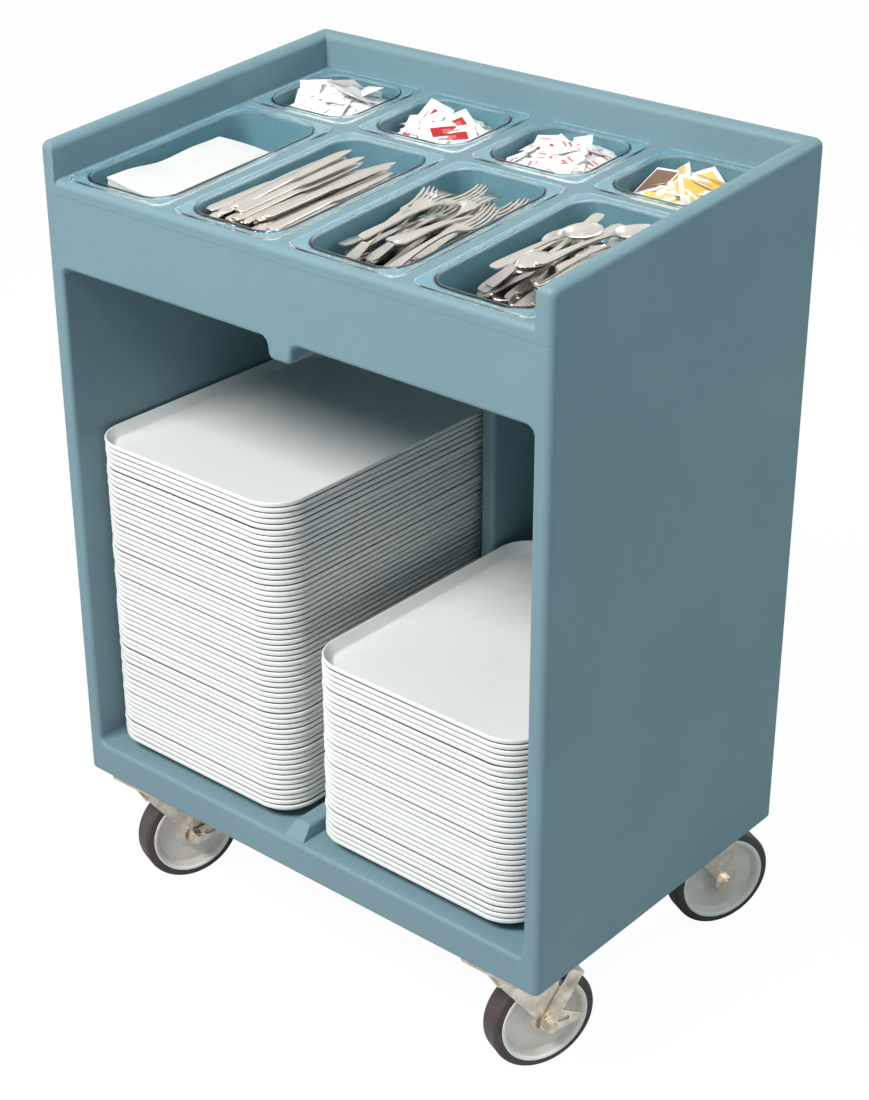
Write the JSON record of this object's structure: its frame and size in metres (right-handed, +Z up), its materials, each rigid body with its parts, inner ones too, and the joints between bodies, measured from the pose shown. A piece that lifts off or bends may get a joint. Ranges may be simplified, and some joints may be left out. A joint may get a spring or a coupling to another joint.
{
  "type": "tray and cutlery cart",
  "caption": "Self-service cart with a sloping deck of lift-out pans for cutlery and packets, an open bay for stacked trays, and swivel casters.",
  "frame": {"origin": "on the floor, under the middle of the space that the standing cart takes up", "axes": "+Z up, front and open bay towards -Y, +X to the right seen from the front"},
  "size_m": [0.835, 0.5896, 1.1832],
  "materials": {
    "cabinet_blue": "lightly textured moulded polyethylene",
    "clear_pan": "clear polycarbonate",
    "tray_white": "satin glass-filled polyester",
    "cutlery_steel": "polished stainless steel",
    "napkin_white": "soft paper",
    "packet_white": "printed paper sachet",
    "packet_red": "printed paper sachet",
    "packet_mixed": "printed paper sachet",
    "packet_yellow": "printed paper sachet",
    "tyre_dark": "non-marking rubber",
    "hub_grey": "zinc-plated pressed steel, satin",
    "bush_bronze": "sintered bronze",
    "ball_steel": "hardened ball bearings",
    "zinc_steel": "zinc-plated, satin"
  },
  "bodies": {
    "cabinet": {"cabinet": "cabinet_blue", "caster_bolts": "zinc_steel", "front_left_caster_plate": "zinc_steel", "front_left_caster_balls": "ball_steel", "front_left_kingpin": "zinc_steel", "front_right_caster_plate": "zinc_steel", "front_right_caster_balls": "ball_steel", "front_right_kingpin": "zinc_steel", "rear_left_caster_plate": "zinc_steel", "rear_left_caster_balls": "ball_steel", "rear_left_kingpin": "zinc_steel", "rear_right_caster_plate": "zinc_steel", "rear_right_caster_balls": "ball_steel", "rear_right_kingpin": "zinc_steel"},
    "pan_front_1": {"pan_front_1": "clear_pan", "napkins": "napkin_white"},
    "pan_rear_1": {"pan_rear_1": "clear_pan", "white_packets": "packet_white"},
    "pan_front_2": {"pan_front_2": "clear_pan", "knives": "cutlery_steel"},
    "pan_rear_2": {"pan_rear_2": "clear_pan", "red_packets": "packet_red"},
    "pan_front_3": {"pan_front_3": "clear_pan", "forks": "cutlery_steel"},
    "pan_rear_3": {"pan_rear_3": "clear_pan", "small_packets": "packet_mixed"},
    "pan_front_4": {"pan_front_4": "clear_pan", "spoons": "cutlery_steel"},
    "pan_rear_4": {"pan_rear_4": "clear_pan", "yellow_packets": "packet_yellow"},
    "tray_stack_left": {"tray_stack_left": "tray_white"},
    "tray_stack_right": {"tray_stack_right": "tray_white"},
    "front_left_swivel": {"front_left_fork": "zinc_steel", "front_left_axle": "zinc_steel", "front_left_bush": "bush_bronze"},
    "front_left_wheel": {"front_left_hub": "hub_grey", "front_left_tyre": "tyre_dark"},
    "front_left_brake_lever": {"front_left_brake_lever": "zinc_steel"},
    "front_left_brake_shoe": {"front_left_brake_shoe": "zinc_steel"},
    "front_right_swivel": {"front_right_fork": "zinc_steel", "front_right_axle": "zinc_steel", "front_right_bush": "bush_bronze"},
    "front_right_wheel": {"front_right_hub": "hub_grey", "front_right_tyre": "tyre_dark"},
    "front_right_brake_lever": {"front_right_brake_lever": "zinc_steel"},
    "front_right_brake_shoe": {"front_right_brake_shoe": "zinc_steel"},
    "rear_left_swivel": {"rear_left_fork": "zinc_steel", "rear_left_axle": "zinc_steel", "rear_left_bush": "bush_bronze"},
    "rear_left_wheel": {"rear_left_hub": "hub_grey", "rear_left_tyre": "tyre_dark"},
    "rear_right_swivel": {"rear_right_fork": "zinc_steel", "rear_right_axle": "zinc_steel", "rear_right_bush": "bush_bronze"},
    "rear_right_wheel": {"rear_right_hub": "hub_grey", "rear_right_tyre": "tyre_dark"}
  },
  "joints": [
    {"name": "pan_front_1_lift", "type": "slide", "parent": "cabinet", "child": "pan_front_1", "axis": [0, -0.0802, 0.9968], "range_m": [0, 0.176]},
    {"name": "pan_rear_1_lift", "type": "slide", "parent": "cabinet", "child": "pan_rear_1", "axis": [0, -0.0802, 0.9968], "range_m": [0, 0.176]},
    {"name": "pan_front_2_lift", "type": "slide", "parent": "cabinet", "child": "pan_front_2", "axis": [0, -0.0802, 0.9968], "range_m": [0, 0.176]},
    {"name": "pan_rear_2_lift", "type": "slide", "parent": "cabinet", "child": "pan_rear_2", "axis": [0, -0.0802, 0.9968], "range_m": [0, 0.176]},
    {"name": "pan_front_3_lift", "type": "slide", "parent": "cabinet", "child": "pan_front_3", "axis": [0, -0.0802, 0.9968], "range_m": [0, 0.176]},
    {"name": "pan_rear_3_lift", "type": "slide", "parent": "cabinet", "child": "pan_rear_3", "axis": [0, -0.0802, 0.9968], "range_m": [0, 0.176]},
    {"name": "pan_front_4_lift", "type": "slide", "parent": "cabinet", "child": "pan_front_4", "axis": [0, -0.0802, 0.9968], "range_m": [0, 0.176]},
    {"name": "pan_rear_4_lift", "type": "slide", "parent": "cabinet", "child": "pan_rear_4", "axis": [0, -0.0802, 0.9968], "range_m": [0, 0.176]},
    {"name": "tray_stack_left_draw", "type": "slide", "parent": "cabinet", "child": "tray_stack_left", "axis": [0, -1, 0], "range_m": [0, 0.5]},
    {"name": "tray_stack_right_draw", "type": "slide", "parent": "cabinet", "child": "tray_stack_right", "axis": [0, -1, 0], "range_m": [0, 0.5]},
    {"name": "front_left_swivel_turn", "type": "hinge", "parent": "cabinet", "child": "front_left_swivel", "pos_m": [-0.333, -0.2336, 0.1905], "axis": [0, 0, 1], "continuous": true},
    {"name": "front_left_wheel_roll", "type": "hinge", "parent": "front_left_swivel", "child": "front_left_wheel", "pos_m": [-0.32063, -0.19767, 0.0762], "axis": [0.9455, -0.3256, 0], "continuous": true},
    {"name": "front_left_brake_press", "type": "hinge", "parent": "front_left_swivel", "child": "front_left_brake_lever", "pos_m": [-0.32063, -0.19767, 0.0762], "axis": [0.9455, -0.3256, 0], "range_deg": [-25, 0]},
    {"name": "front_left_brake_grip", "type": "slide", "parent": "front_left_swivel", "child": "front_left_brake_shoe", "axis": [-0.1628, -0.4728, -0.866], "range_m": [0, 0.0017]},
    {"name": "front_right_swivel_turn", "type": "hinge", "parent": "cabinet", "child": "front_right_swivel", "pos_m": [0.333, -0.2336, 0.1905], "axis": [0, 0, 1], "continuous": true},
    {"name": "front_right_wheel_roll", "type": "hinge", "parent": "front_right_swivel", "child": "front_right_wheel", "pos_m": [0.34785, -0.19862, 0.0762], "axis": [0.9205, -0.3907, 0], "continuous": true},
    {"name": "front_right_brake_press", "type": "hinge", "parent": "front_right_swivel", "child": "front_right_brake_lever", "pos_m": [0.34785, -0.19862, 0.0762], "axis": [0.9205, -0.3907, 0], "range_deg": [-25, 0]},
    {"name": "front_right_brake_grip", "type": "slide", "parent": "front_right_swivel", "child": "front_right_brake_shoe", "axis": [-0.1954, -0.4603, -0.866], "range_m": [0, 0.0017]},
    {"name": "rear_left_swivel_turn", "type": "hinge", "parent": "cabinet", "child": "rear_left_swivel", "pos_m": [-0.333, 0.1844, 0.1905], "axis": [0, 0, 1], "continuous": true},
    {"name": "rear_left_wheel_roll", "type": "hinge", "parent": "rear_left_swivel", "child": "rear_left_wheel", "pos_m": [-0.31877, 0.21964, 0.0762], "axis": [0.9272, -0.3746, 0], "continuous": true},
    {"name": "rear_right_swivel_turn", "type": "hinge", "parent": "cabinet", "child": "rear_right_swivel", "pos_m": [0.333, 0.1844, 0.1905], "axis": [0, 0, 1], "continuous": true},
    {"name": "rear_right_wheel_roll", "type": "hinge", "parent": "rear_right_swivel", "child": "rear_right_wheel", "pos_m": [0.34936, 0.2187, 0.0762], "axis": [0.9026, -0.4305, 0], "continuous": true}
  ],
  "couplings": [
    {"joint": "front_left_brake_press", "follows": "front_left_brake_grip", "rad_per_m": -256.66},
    {"joint": "front_right_brake_press", "follows": "front_right_brake_grip", "rad_per_m": -256.66}
  ]
}
